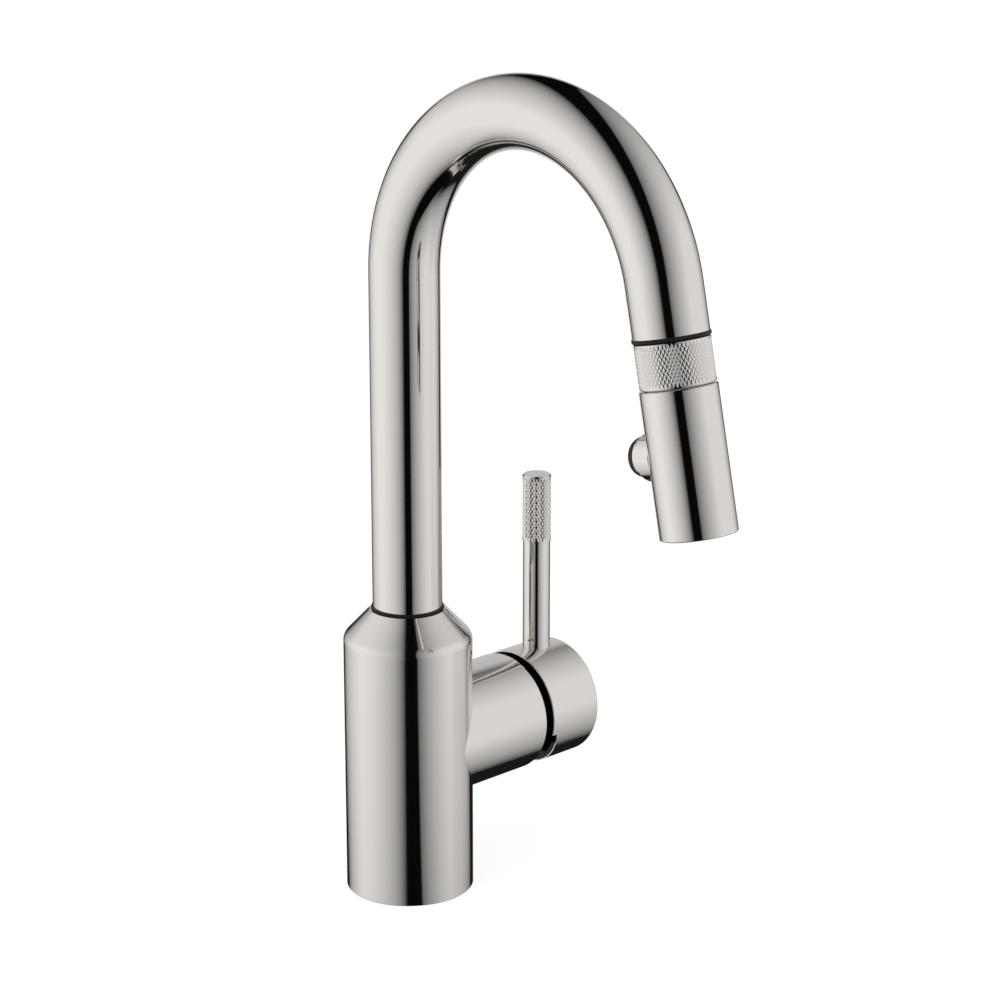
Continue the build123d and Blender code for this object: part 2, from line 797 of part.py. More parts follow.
def make_nozzle_pad():
    pad = pipe(shell_bore_r - seat_gap, aerator_r + seat_gap, pad_u, face_u)
    for place in nozzle_places():
        pad += place * bar(nozzle_r, face_u - spare, face_end_u + nozzle_stand)
    return head_axis * pad


def make_nozzle_plate():
    plate = pipe(shell_bore_r - seat_gap, aerator_r + seat_gap, face_u, face_end_u)
    for place in nozzle_places():
        plate -= place * bar(nozzle_r + seat_gap, face_u - spare, face_end_u + spare)
    return head_axis * plate


def make_aerator():
    aerator = bar(aerator_r, pad_u, face_end_u)
    hole_r = aerator_hole_diameter / 2
    hole = bar(hole_r, pad_u - spare, face_end_u + spare)
    aerator -= hole
    for place in PolarLocations(aerator_r - aerator_rim - hole_r, aerator_hole_count):
        aerator -= place * hole
    return head_axis * aerator


def make_button_bezel():
    bezel = button_bar(bezel_r, bezel_seat, bezel_reach)
    bezel -= button_bar(bezel_bore_r, bezel_seat - spare, bezel_reach + spare)
    bezel -= button_bar(flange_room_r, bezel_seat - spare, bezel_step)
    return head_axis * bezel


# Spray button


def make_button_cap():
    crown_z = button_reach - button_dome
    inner = spring_r + spring_wire / 2 + free_gap
    dome_r = (button_r ** 2 + button_dome ** 2) / (2 * button_dome)
    dome_middle_z = button_reach - dome_r + math.sqrt(dome_r ** 2 - (button_r / 2) ** 2)
    outline = Plane.XZ * make_face([
        Polyline((inner, button_foot), (button_flange_r, button_foot),
                 (button_flange_r, button_foot + button_flange_thickness),
                 (button_r, button_foot + button_flange_thickness), (button_r, crown_z)),
        ThreePointArc((button_r, crown_z), (button_r / 2, dome_middle_z), (0, button_reach)),
        Polyline((0, button_reach), (0, button_roof), (inner, button_roof), (inner, button_foot)),
    ])
    crown_edge = outline.vertices().sort_by_distance((button_r, 0, crown_z))[0]
    cap = revolve(fillet(crown_edge, button_edge_radius), Axis.Z)
    return head_axis * (Pos(0, 0, button_u) * (to_back * cap))


def make_diverter_spool():
    spool = button_bar(spool_r, spool_tip + button_travel + free_gap, button_roof)
    return head_axis * spool


def make_button_spring():
    low = button_pocket + spring_wire / 2 + seat_gap
    high = button_roof - spring_wire / 2 - seat_gap
    coil = Helix((high - low) / spring_turn_count, high - low, spring_r)
    start = Plane(origin=coil @ 0, z_dir=coil % 0)
    wire = sweep(start * Circle(spring_wire / 2), path=coil)
    return head_axis * (Pos(0, 0, button_u) * (to_back * (Pos(0, 0, low) * wire)))


makers = {
    "body_casting": make_body_casting,
    "base_gasket": make_base_gasket,
    "mounting_shank": make_mounting_shank,
    "stop_screw": make_stop_screw,
    "lower_bush": make_lower_bush,
    "glide_ring": make_glide_ring,
    "rubber_washer": make_rubber_washer,
    "steel_washer": make_steel_washer,
    "mounting_nut": make_mounting_nut,
    "clamp_screws": make_clamp_screws,
    "cartridge_seals": make_cartridge_seals,
    "cartridge_base": make_cartridge_base,
    "fixed_disc": make_fixed_disc,
    "cartridge_housing": make_cartridge_housing,
    "moving_disc": make_moving_disc,
    "disc_carrier": make_disc_carrier,
    "turret": make_turret,
    "pivot_pin": make_pivot_pin,
    "valve_stem": make_valve_stem,
    "cartridge_nut": make_cartridge_nut,
    "bonnet_ring": make_bonnet_ring,
    "handle_cap": make_handle_cap,
    "lever_rod": make_lever_rod,
    "lever_grip": make_lever_grip,
    "handle_screw": make_handle_screw,
    "spout_tube": make_spout_tube,
    "foot_sleeve": make_foot_sleeve,
    "dock_sleeve": make_dock_sleeve,
    "spray_hose": make_spray_hose,
    "hose_coupling": make_hose_coupling,
    "hose_ferrule": make_hose_ferrule,
    "hose_spindle": make_hose_spindle,
    "spindle_o_ring": make_spindle_o_ring,
    "docking_collar": make_docking_collar,
    "grip_ring": make_grip_ring,
    "swivel_nut": make_swivel_nut,
    "head_core": make_head_core,
    "check_valve": make_check_valve,
    "head_shell": make_head_shell,
    "nozzle_pad": make_nozzle_pad,
    "nozzle_plate": make_nozzle_plate,
    "aerator": make_aerator,
    "button_bezel": make_button_bezel,
    "button_cap": make_button_cap,
    "diverter_spool": make_diverter_spool,
    "button_spring": make_button_spring,
}

os.makedirs("parts", exist_ok=True)
for name, make in makers.items():
    export_step(make(), f"parts/{name}.step")
print(f"{len(makers)} pieces, body {body_top_z:.1f} mm high, spout end {spout_end.Z:.1f} mm over the deck")
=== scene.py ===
import json
import math
import bmesh
import bpy
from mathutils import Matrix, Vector


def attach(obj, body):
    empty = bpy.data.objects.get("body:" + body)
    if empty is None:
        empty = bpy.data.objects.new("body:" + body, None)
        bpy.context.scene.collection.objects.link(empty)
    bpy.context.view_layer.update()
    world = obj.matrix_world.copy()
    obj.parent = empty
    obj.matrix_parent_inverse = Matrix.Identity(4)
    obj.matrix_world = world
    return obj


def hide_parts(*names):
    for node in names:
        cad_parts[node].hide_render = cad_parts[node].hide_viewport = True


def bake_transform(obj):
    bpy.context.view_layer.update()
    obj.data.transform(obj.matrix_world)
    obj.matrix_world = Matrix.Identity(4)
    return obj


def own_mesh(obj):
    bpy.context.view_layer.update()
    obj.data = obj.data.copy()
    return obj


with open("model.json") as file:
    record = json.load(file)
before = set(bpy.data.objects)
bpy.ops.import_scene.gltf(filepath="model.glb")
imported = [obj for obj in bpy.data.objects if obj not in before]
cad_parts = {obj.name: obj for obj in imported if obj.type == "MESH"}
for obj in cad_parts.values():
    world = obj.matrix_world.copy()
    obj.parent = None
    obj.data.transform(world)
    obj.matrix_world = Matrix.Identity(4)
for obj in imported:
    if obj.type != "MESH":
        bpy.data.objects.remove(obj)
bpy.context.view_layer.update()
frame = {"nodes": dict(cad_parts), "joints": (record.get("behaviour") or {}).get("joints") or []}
mm = 0.001
print("frame loaded:", len(frame["nodes"]), "nodes")


# camera, at the photograph's angle
cameraSettings = {
    "azimuth": -44.754,     # degrees round from straight ahead
    "elevation": 15.922,
    "distance": 1052.79 * mm,
    "aim": (25.33 * mm, -25.12 * mm, 157.4 * mm),
    "lens": 99.26,
    "sensor": 36.0,
    "clipEnd": 100.0,
}


def addCamera(settings):
    turn = math.radians(settings["azimuth"])
    lift = math.radians(settings["elevation"])
    back = Vector((math.sin(turn) * math.cos(lift),
                   -math.cos(turn) * math.cos(lift),
                   math.sin(lift)))
    bpy.ops.object.select_all(action="DESELECT")
    bpy.ops.object.camera_add(location=Vector(settings["aim"]) + back * settings["distance"])
    camera = bpy.context.object
    camera.name = "camera"
    camera.rotation_euler = (-back).to_track_quat("-Z", "Y").to_euler()
    camera.data.lens = settings["lens"]
    camera.data.sensor_width = settings["sensor"]
    camera.data.clip_end = settings["clipEnd"]
    bpy.context.scene.camera = camera
    return back


viewBack = addCamera(cameraSettings)
print("camera placed")


# the spout's line: up the riser, over the arch, down the tail
spoutLine = {
    "archHeight": 246.31 * mm,
    "archRadius": 65.6 * mm,
    "archTurn": math.radians(168.0),
    "tailLength": 17.4 * mm,
}
archTurn = spoutLine["archTurn"]
archCentre = Vector((0, -spoutLine["archRadius"], spoutLine["archHeight"]))
tailWay = Vector((0, -math.sin(archTurn), math.cos(archTurn)))
tailStart = Vector((0, spoutLine["archRadius"] * (math.cos(archTurn) - 1),
                    spoutLine["archHeight"] + spoutLine["archRadius"] * math.sin(archTurn)))
spoutEnd = tailStart + tailWay * spoutLine["tailLength"]

# the spray button's line, out of the back of the head
buttonLine = {"along": 41.8 * mm}       # from the end of the spout
buttonPlace = spoutEnd + tailWay * buttonLine["along"]
buttonWay = Vector((0, -tailWay.z, tailWay.y))


def jointReach(name):
    return [joint for joint in frame["joints"] if joint["name"] == name][0]["range_m"][1]


# material helpers: each node is added, set and linked in one line
noiseSpan = (0.3, 0.7)          # most of a noise lies between these


def shaded(colour, share):
    return tuple(min(1.0, part * share) for part in colour)


class Finish:
    def __init__(self, name, colour, roughness, metallic=0.0):
        self.material = bpy.data.materials.new(name)
        self.material.use_nodes = True
        self.tree = self.material.node_tree
        self.shader = self.tree.nodes["Principled BSDF"]
        self.shader.inputs["Base Color"].default_value = (*colour, 1)
        self.shader.inputs["Roughness"].default_value = roughness
        self.shader.inputs["Metallic"].default_value = metallic

    def add(self, kind, *inputs, **values):
        node = self.tree.nodes.new("ShaderNode" + kind)
        for key, value in values.items():
            setattr(node, key, value)
        for socket, value in zip(node.inputs, inputs):
            self.feed(socket, value)
        return node.outputs[0]

    def feed(self, socket, value):
        if isinstance(value, bpy.types.NodeSocket):
            self.tree.links.new(value, socket)
        else:
            socket.default_value = value

    def maths(self, operation, *values):
        return self.add("Math", *values, operation=operation)

    def plus(self, first, second):
        return self.maths("ADD", first, second)

    def minus(self, first, second):
        return self.maths("SUBTRACT", first, second)

    def over(self, first, second):
        return self.maths("DIVIDE", first, second)

    def times(self, first, *others):
        for other in others:
            first = self.maths("MULTIPLY", first, other)
        return first

    def atLeast(self, first, second):
        return self.maths("MAXIMUM", first, second)

    def distance(self, first, second):
        return self.maths("SQRT", self.plus(self.times(first, first), self.times(second, second)))

    def place(self):
        node = self.tree.nodes.new("ShaderNodeTexCoord")
        return node.outputs["Object"]

    def noise(self, where, scale, detail=2.0):
        node = self.tree.nodes.new("ShaderNodeTexNoise")
        self.feed(node.inputs["Vector"], where)
        node.inputs["Scale"].default_value = scale
        node.inputs["Detail"].default_value = detail
        return node.outputs["Fac"]

    def stretch(self, where, scale):
        node = self.tree.nodes.new("ShaderNodeMapping")
        self.feed(node.inputs["Vector"], where)
        node.inputs["Scale"].default_value = scale
        return node.outputs[0]

    def split(self, where):
        node = self.tree.nodes.new("ShaderNodeSeparateXYZ")
        self.feed(node.inputs[0], where)
        return node.outputs

    def join(self, x, y, z):
        return self.add("CombineXYZ", x, y, z)

    def spread(self, value, low, high, start=noiseSpan[0], end=noiseSpan[1], smooth=False):
        node = self.tree.nodes.new("ShaderNodeMapRange")
        if smooth:
            node.interpolation_type = "SMOOTHSTEP"
        self.feed(node.inputs["Value"], value)
        node.inputs["From Min"].default_value = start
        node.inputs["From Max"].default_value = end
        node.inputs["To Min"].default_value = low
        node.inputs["To Max"].default_value = high
        return node.outputs[0]

    def ease(self, value, start, end):
        return self.spread(value, 0.0, 1.0, start, end, smooth=True)

    def colours(self, value, stops):
        node = self.tree.nodes.new("ShaderNodeValToRGB")
        ramp = node.color_ramp
        while len(ramp.elements) < len(stops):
            ramp.elements.new(0.5)
        for element, (position, colour) in zip(ramp.elements, stops):
            element.position = position
            element.color = (*colour, 1)
        self.feed(node.inputs[0], value)
        return node.outputs[0]

    def rough(self, value):
        self.feed(self.shader.inputs["Roughness"], value)

    def colour(self, value):
        self.feed(self.shader.inputs["Base Color"], value)

    def tint(self, value, colour, shades, span=noiseSpan):
        low, high = (shaded(colour, share) for share in shades)
        self.colour(self.colours(value, [(span[0], low), (span[1], high)]))

    def bump(self, height, strength, distance):
        node = self.tree.nodes.new("ShaderNodeBump")
        node.inputs["Strength"].default_value = strength
        node.inputs["Distance"].default_value = distance
        self.feed(node.inputs["Height"], height)
        self.feed(self.shader.inputs["Normal"], node.outputs[0])


# satin nickel: a near mirror with fine brushing that follows each piece
nickel = {
    "colour": (0.768, 0.74, 0.716),
    "smoothest": 0.05,
    "roughest": 0.09,
    "fine": 2600.0,         # brush lines to the metre, across
    "slow": 40.0,           # and along
    "bump": 0.02,
    "depth": 0.02 * mm,
    "darkened": (0.03, 0.03, 0.03),     # painted shade inside the cap, and the dark end of the spray button
    "cloudScale": 60.0,
    "cloudDetail": 3.0,
    "lineShare": 0.6,       # of the roughness, the rest is from the clouds
}


def nickelFinish(name, brushCoords, rougher=0.0, darkenedPart=None):
    finish = Finish(name, nickel["colour"], nickel["smoothest"], metallic=1.0)
    where = brushCoords(finish, finish.place())
    lines = finish.noise(where, 1.0)
    clouds = finish.noise(finish.place(), nickel["cloudScale"], nickel["cloudDetail"])
    share = nickel["lineShare"]
    mixed = finish.maths("MULTIPLY_ADD", lines, share, finish.times(clouds, 1 - share))
    finish.rough(finish.spread(mixed, nickel["smoothest"] + rougher, nickel["roughest"] + rougher))
    finish.bump(lines, nickel["bump"], nickel["depth"])
    # near black where the mask says: painted shade in the cap's hollow, and the dark end of the spray button
    if darkenedPart:
        inside = darkenedPart(finish, finish.place())
        finish.colour(finish.colours(inside, [(0.0, nickel["colour"]), (1.0, nickel["darkened"])]))
    return finish.material


def brushAlongZ(finish, place):
    return finish.stretch(place, (nickel["fine"], nickel["fine"], nickel["slow"]))


def brushRoundX(finish, place):
    return finish.stretch(place, (nickel["fine"], nickel["slow"], nickel["slow"]))


def brushAlongSpout(finish, place):
    x, y, z = finish.split(place)
    out = finish.minus(y, archCentre.y)
    up = finish.atLeast(finish.minus(z, archCentre.z), 0.0)
    reach = finish.distance(out, up)
    return finish.stretch(finish.join(x, reach, z), (nickel["fine"], nickel["fine"], nickel["slow"]))


bodyRadius = 25.3 * mm


def brushOnBody(finish, place):
    x, y, z = finish.split(place)
    onBoss = finish.maths("GREATER_THAN", x, bodyRadius)
    column = brushAlongZ(finish, place)
    boss = brushRoundX(finish, place)
    mix = finish.tree.nodes.new("ShaderNodeMix")
    mix.data_type = "VECTOR"
    finish.feed(mix.inputs[0], onBoss)
    finish.feed(mix.inputs[4], column)
    finish.feed(mix.inputs[5], boss)
    return mix.outputs[1]


capBore = {"height": 58.26 * mm, "radius": 23.3 * mm, "floor": 64.1 * mm}


# painted shade: the cap's hollow inside its bore is coloured near black as if in shade
def paintedShadeInCap(finish, place):
    x, y, z = finish.split(place)
    up = finish.minus(z, capBore["height"])
    reach = finish.distance(y, up)
    within = finish.maths("LESS_THAN", reach, capBore["radius"])
    return finish.times(within, finish.maths("LESS_THAN", x, capBore["floor"]))


# the spray button ends in a dark dome
buttonDome = {"out": 19.6 * mm}


def onButtonDome(finish, place):
    start = buttonPlace.dot(buttonWay) + buttonDome["out"]
    x, y, z = finish.split(place)
    out = finish.plus(finish.times(y, buttonWay.y), finish.times(z, buttonWay.z))
    return finish.maths("GREATER_THAN", out, start)


# plastics and rubber: specks in the surface, a slow drift in the colour
plasticLook = {
    "speckDetail": 4.0,
    "drift": 1 / 12,                # of the grain
    "shades": (0.85, 1.12),
    "roughShare": (0.85, 1.15),
    "bump": 0.2,
}
plastics = {
    # black acetal; the bonnet ring wears it too, as painted shade in the seam between the boss and the cap
    "blackAcetalAndSeamShade": {"colour": (0.010, 0.009, 0.009), "roughness": 0.45, "grain": 1500.0, "depth": 0.01 * mm,
                    "gloss": 0.2},
    "paleAcetal": {"colour": (0.74, 0.73, 0.70), "roughness": 0.40, "grain": 900.0, "depth": 0.01 * mm},
    "darkFace": {"colour": (0.085, 0.085, 0.09), "roughness": 0.5, "grain": 1800.0, "depth": 0.02 * mm},
    "greySilicone": {"colour": (0.26, 0.27, 0.28), "roughness": 0.6, "grain": 1200.0, "depth": 0.02 * mm},
    "blackRubber": {"colour": (0.016, 0.016, 0.016), "roughness": 0.75, "grain": 700.0, "depth": 0.05 * mm},
    "lappedCeramic": {"colour": (0.86, 0.84, 0.80), "roughness": 0.18, "grain": 2500.0, "depth": 0.004 * mm},
}


def plasticFinish(name, colour, roughness, grain, depth, gloss=0.5):
    look = plasticLook
    finish = Finish(name, colour, roughness)
    finish.shader.inputs["Specular IOR Level"].default_value = gloss
    speck = finish.noise(finish.place(), grain, look["speckDetail"])
    drift = finish.noise(finish.place(), grain * look["drift"])
    finish.tint(drift, colour, look["shades"])
    smoothest, roughest = (roughness * share for share in look["roughShare"])
    finish.rough(finish.spread(speck, smoothest, roughest))
    finish.bump(speck, look["bump"], depth)
    return finish.material


# turned brass: tool lines round the piece and a stain
brassLook = {
    "colour": (0.78, 0.58, 0.29),
    "shades": (0.88, 1.06),
    "rough": (0.2, 0.34),
    "lines": (30.0, 30.0, 2400.0),
    "stainScale": 90.0,
    "stainDetail": 3.0,
    "bump": 0.15,
    "depth": 0.03 * mm,
}


def turnedFinish(name, look):
    finish = Finish(name, look["colour"], look["rough"][0], metallic=1.0)
    rings = finish.noise(finish.stretch(finish.place(), look["lines"]), 1.0)
    stain = finish.noise(finish.place(), look["stainScale"], look["stainDetail"])
    finish.tint(stain, look["colour"], look["shades"])
    finish.rough(finish.spread(rings, *look["rough"]))
    finish.bump(rings, look["bump"], look["depth"])
    return finish.material


# plated steel: a fine grain
steelLook = {
    "colour": (0.62, 0.62, 0.63),
    "shades": (0.8, 1.1),
    "span": (0.35, 0.65),
    "rough": (0.26, 0.42),
    "grain": 500.0,
    "detail": 5.0,
    "bump": 0.12,
    "depth": 0.03 * mm,
}


def platedFinish(name, look):
    finish = Finish(name, look["colour"], look["rough"][0], metallic=1.0)
    speck = finish.noise(finish.place(), look["grain"], look["detail"])
    finish.tint(speck, look["colour"], look["shades"], look["span"])
    finish.rough(finish.spread(speck, *look["rough"]))
    finish.bump(speck, look["bump"], look["depth"])
    return finish.material


# braid: two sets of yarns that cross, laid out on the hose's own map
braidLook = {
    "colour": (0.10, 0.10, 0.105),
    # painted shade where the yarns dip, painted highlight on their crowns
    "shades": (0.35, 1.5),
    "span": (0.55, 1.0),
    "rough": (0.42, 0.65),
    "carriers": 16,
    "pitch": 6.0 * mm,
    "fibreScale": 2400.0,
    "fibreDetail": 3.0,
    "fibreHeight": 0.25,
    "bump": 0.6,
    "depth": 0.25 * mm,
}


def braidFinish(name, look):
    finish = Finish(name, look["colour"], look["rough"][0])
    node = finish.tree.nodes.new("ShaderNodeUVMap")
    node.uv_map = "hoseWrap"
    around, along = finish.split(node.outputs[0])[:2]
    turns = finish.times(around, look["carriers"] * 2 * math.pi)
    climb = finish.times(along, 2 * math.pi / look["pitch"])
    right = finish.maths("SINE", finish.plus(turns, climb))
    left = finish.maths("SINE", finish.minus(turns, climb))
    weave = finish.atLeast(finish.maths("ABSOLUTE", right), finish.maths("ABSOLUTE", left))
    fibres = finish.noise(finish.place(), look["fibreScale"], look["fibreDetail"])
    height = finish.maths("MULTIPLY_ADD", fibres, look["fibreHeight"], weave)
    # the colour follows the weave's height: painted shade where the yarns dip between each other, painted
    # highlight on their crowns
    finish.tint(weave, look["colour"], look["shades"], look["span"])
    finish.rough(finish.spread(fibres, *look["rough"]))
    finish.bump(height, look["bump"], look["depth"])
    return finish.material


finishes = {
    "bodyNickel": nickelFinish("bodyNickel", brushOnBody),
    "spoutNickel": nickelFinish("spoutNickel", brushAlongSpout),
    # the cap's hollow is painted near black: painted shade
    "capNickel": nickelFinish("capNickel", brushRoundX, rougher=0.06, darkenedPart=paintedShadeInCap),
    "rodNickel": nickelFinish("rodNickel", brushAlongZ),
    "headNickel": nickelFinish("headNickel", brushAlongZ),
    "buttonNickel": nickelFinish("buttonNickel", brushAlongZ, darkenedPart=onButtonDome),
    "knurlNickel": nickelFinish("knurlNickel", brushAlongZ, rougher=0.02),
    "turnedBrass": turnedFinish("turnedBrass", brassLook),
    "platedSteel": platedFinish("platedSteel", steelLook),
    "hoseBraid": braidFinish("hoseBraid", braidLook),
}
for plasticName, plasticSettings in plastics.items():
    finishes[plasticName] = plasticFinish(plasticName, **plasticSettings)
nodeFinish = {
    "bodyNickel": ["body_casting"],
    "spoutNickel": ["spout_tube"],
    "capNickel": ["handle_cap"],
    "rodNickel": ["lever_rod"],
    "headNickel": ["head_shell", "button_bezel"],
    "buttonNickel": ["button_cap"],
    "knurlNickel": ["grip_ring", "lever_grip"],
    # the bonnet ring is black to stand for the shade in the seam between the boss and the cap: painted shade
    "blackAcetalAndSeamShade": ["glide_ring", "lower_bush", "bonnet_ring", "dock_sleeve", "docking_collar"],
    "paleAcetal": ["cartridge_base", "cartridge_housing", "disc_carrier", "turret", "head_core",
                   "check_valve", "aerator", "diverter_spool"],
    "darkFace": ["nozzle_plate"],
    "greySilicone": ["nozzle_pad"],
    "blackRubber": ["base_gasket", "rubber_washer", "cartridge_seals", "spindle_o_ring"],
    "lappedCeramic": ["fixed_disc", "moving_disc"],
    "turnedBrass": ["mounting_shank", "mounting_nut", "cartridge_nut", "foot_sleeve", "valve_stem",
                    "hose_ferrule", "hose_spindle", "swivel_nut", "hose_coupling"],
    "platedSteel": ["stop_screw", "steel_washer", "clamp_screws", "pivot_pin", "handle_screw",
                    "button_spring"],
}
for finishName, nodeNames in nodeFinish.items():
    for nodeName in nodeNames:
        for slot in frame["nodes"][nodeName].material_slots:
            slot.material = finishes[finishName]
print("finishes on the solids:", len(finishes))


# edit mode helpers: what is selected is picked by its place
hair = 0.001 * mm               # closer than this is the same place
nearBy = 0.01 * mm
roundAngle = math.radians(50)   # edges flatter than this are shaded smooth
edgedAngle = math.radians(30)


def pickVerts(piece, test):
    bpy.ops.mesh.select_mode(type="VERT")
    bpy.ops.mesh.select_all(action="DESELECT")
    mesh = bmesh.from_edit_mesh(piece.data)
    for vert in mesh.verts:
        vert.select = test(vert.co)
    mesh.select_flush(True)
    bmesh.update_edit_mesh(piece.data)


def pickEdges(piece, test):
    bpy.ops.mesh.select_mode(type="EDGE")
    bpy.ops.mesh.select_all(action="DESELECT")
    mesh = bmesh.from_edit_mesh(piece.data)
    for edge in mesh.edges:
        edge.select = test(edge.verts[0].co, edge.verts[1].co)
    mesh.select_flush_mode()
    bmesh.update_edit_mesh(piece.data)


def pickRim(piece, height):
    pickEdges(piece, lambda a, b: max(abs(a.z - height), abs(b.z - height)) < hair)


# carries the selected rim on, from one radius and height to the next
def stepRim(radii, rise=0.0):
    bpy.ops.mesh.extrude_edges_move(TRANSFORM_OT_translate={"value": (0, 0, rise)})
    share = radii[1] / radii[0]
    bpy.ops.transform.resize(value=(share, share, 1), center_override=(0, 0, 0))


def addPipe(name, sides, radius, low, high):
    bpy.ops.object.select_all(action="DESELECT")
    bpy.ops.mesh.primitive_cylinder_add(vertices=sides, radius=radius, depth=high - low,
                                        end_fill_type="NOTHING", location=(0, 0, (low + high) / 2))
    piece = bpy.context.object
    piece.name = name
    bpy.ops.object.transform_apply(location=True, rotation=True, scale=True)
    bpy.ops.object.mode_set(mode="EDIT")
    return piece


def closeMesh(piece):
    bpy.ops.mesh.select_all(action="SELECT")
    bpy.ops.mesh.normals_make_consistent(inside=False)
    bpy.ops.object.mode_set(mode="OBJECT")


# closes a ring between the two rims of its bore
def bridgeBore(piece, radius):
    def onBore(point):
        return abs(point.xy.length - radius) < nearBy

    pickEdges(piece, lambda a, b: abs(a.z - b.z) < hair and onBore(a) and onBore(b))
    bpy.ops.mesh.bridge_edge_loops()
    closeMesh(piece)


def setPlace(piece, place, tilt=0.0):
    bpy.ops.object.select_all(action="DESELECT")
    piece.select_set(True)
    bpy.context.view_layer.objects.active = piece
    piece.location = place
    piece.rotation_euler = (tilt, 0, 0)
    bpy.ops.object.transform_apply(location=True, rotation=True, scale=True)


def dress(piece, finishName, slotName, body, *nodes):
    piece.data.materials.clear()
    piece.data.materials.append(finishes[finishName])
    if body:
        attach(piece, body)
    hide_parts(*nodes)


# knurling: pyramids between two sets of slanting grooves, their tops cut flat
def cutKnurl(piece, settings):
    low, high = settings["low"], settings["high"]
    rowHeight = (high - low) / settings["rows"]
    step = math.pi / settings["columns"]
    pickEdges(piece, lambda a, b: abs(a.z - b.z) > (high - low) / 2)
    bpy.ops.mesh.subdivide(number_cuts=settings["rows"] - 1)

    def atCrossing(point):
        column = round(math.atan2(point.y, point.x) / step)
        row = round((point.z - low) / rowHeight)
        return 0 < row < settings["rows"] and (column + row) % 2 == 0

    pickVerts(piece, atCrossing)
    share = 1 - settings["depth"] / settings["radius"]
    bpy.ops.transform.resize(value=(share, share, 1), center_override=(0, 0, 0))
    bpy.ops.mesh.select_all(action="SELECT")
    bpy.ops.mesh.quads_convert_to_tris(quad_method="SHORTEST_DIAGONAL")
    peak = settings["radius"] - settings["depth"] / 2
    pickVerts(piece, lambda point: point.xy.length > peak and low + nearBy < point.z < high - nearBy)
    bpy.ops.mesh.bevel(offset_type="PERCENT", offset_pct=settings["flat"], affect="VERTICES")


gripRingSettings = {
    "radius": 13.45 * mm,
    "low": 1.85 * mm,           # from the end of the spout
    "high": 17.15 * mm,
    "columns": 56,
    "rows": 12,
    "depth": 0.21 * mm,
    "flat": 36,                 # percent of each pyramid
    "chamfer": 0.35 * mm,
    "boreRadius": 11.7 * mm,
    "lipRadius": 10.35 * mm,
    "lipThickness": 1.5 * mm,
}


def addGripRing(settings):
    radius, chamfer = settings["radius"], settings["chamfer"]
    low, high = settings["low"], settings["high"]
    piece = addPipe("gripRing", settings["columns"] * 2, radius, low, high)
    cutKnurl(piece, settings)
    pickRim(piece, high)
    stepRim((radius, radius - chamfer), chamfer)
    stepRim((radius - chamfer, settings["boreRadius"]))
    pickRim(piece, low)
    stepRim((radius, radius - chamfer), -chamfer)
    stepRim((radius - chamfer, settings["lipRadius"]))
    stepRim((1, 1), settings["lipThickness"])
    stepRim((settings["lipRadius"], settings["boreRadius"]))
    bridgeBore(piece, settings["boreRadius"])
    setPlace(piece, spoutEnd, archTurn)
    dress(piece, "knurlNickel", "knurled_nickel", "spray_head", "grip_ring")


addGripRing(gripRingSettings)

leverGripSettings = {
    "place": (70.95 * mm, 0, 0),
    "radius": 5.8 * mm,
    "low": 126.66 * mm,
    "top": 154.16 * mm,
    "rimHeight": 0.3 * mm,
    "chamfer": 0.6 * mm,
    "columns": 24,
    "rows": 21,
    "depth": 0.3 * mm,
    "flat": 47,
    "boreRadius": 3.52 * mm,
    "boreTop": 148.18 * mm,
}


def addLeverGrip(settings):
    radius, chamfer = settings["radius"], settings["chamfer"]
    knurl = dict(settings, low=settings["low"] + settings["rimHeight"], high=settings["top"] - chamfer)
    piece = addPipe("leverGrip", settings["columns"] * 2, radius, knurl["low"], knurl["high"])
    cutKnurl(piece, knurl)
    pickRim(piece, knurl["high"])
    stepRim((radius, radius - chamfer), chamfer)
    bpy.ops.mesh.edge_face_add()
    pickRim(piece, knurl["low"])
    stepRim((1, 1), -settings["rimHeight"])
    stepRim((radius, settings["boreRadius"]))
    stepRim((1, 1), settings["boreTop"] - settings["low"])
    bpy.ops.mesh.edge_face_add()
    closeMesh(piece)
    setPlace(piece, settings["place"])
    dress(piece, "knurlNickel", "knurled_nickel", "handle", "lever_grip")


addLeverGrip(leverGripSettings)
print("knurled pieces made")

# spray hose: one piece stays in the spout, the other is a short tail at the end of the spout
hoseSettings = {
    "radius": 5.5 * mm,
    "wall": 2.0 * mm,
    "sides": 24,
    "lowEnd": -85.0 * mm,
    "archSteps": 42,
    "drawEnd": 12.2 * mm,       # short of the end of the spout
    "drawRings": 60,
}
pullReach = jointReach("spray_pull")


def wrapHose(piece, alongHose, aroundHose):
    layer = piece.data.uv_layers.new(name="hoseWrap")
    for face in piece.data.polygons:
        middle = aroundHose(face.center)
        for index in face.loop_indices:
            point = piece.data.vertices[piece.data.loops[index].vertex_index].co
            around = aroundHose(point)
            around += round(middle - around)
            layer.data[index].uv = (around, alongHose(point))


def thickenHose(piece, wall):
    bpy.ops.object.modifier_add(type="SOLIDIFY")
    solid = piece.modifiers[-1]
    solid.thickness = wall
    solid.offset = -1
    bpy.ops.object.modifier_apply(modifier=solid.name)
    bpy.ops.object.shade_smooth_by_angle(angle=roundAngle)


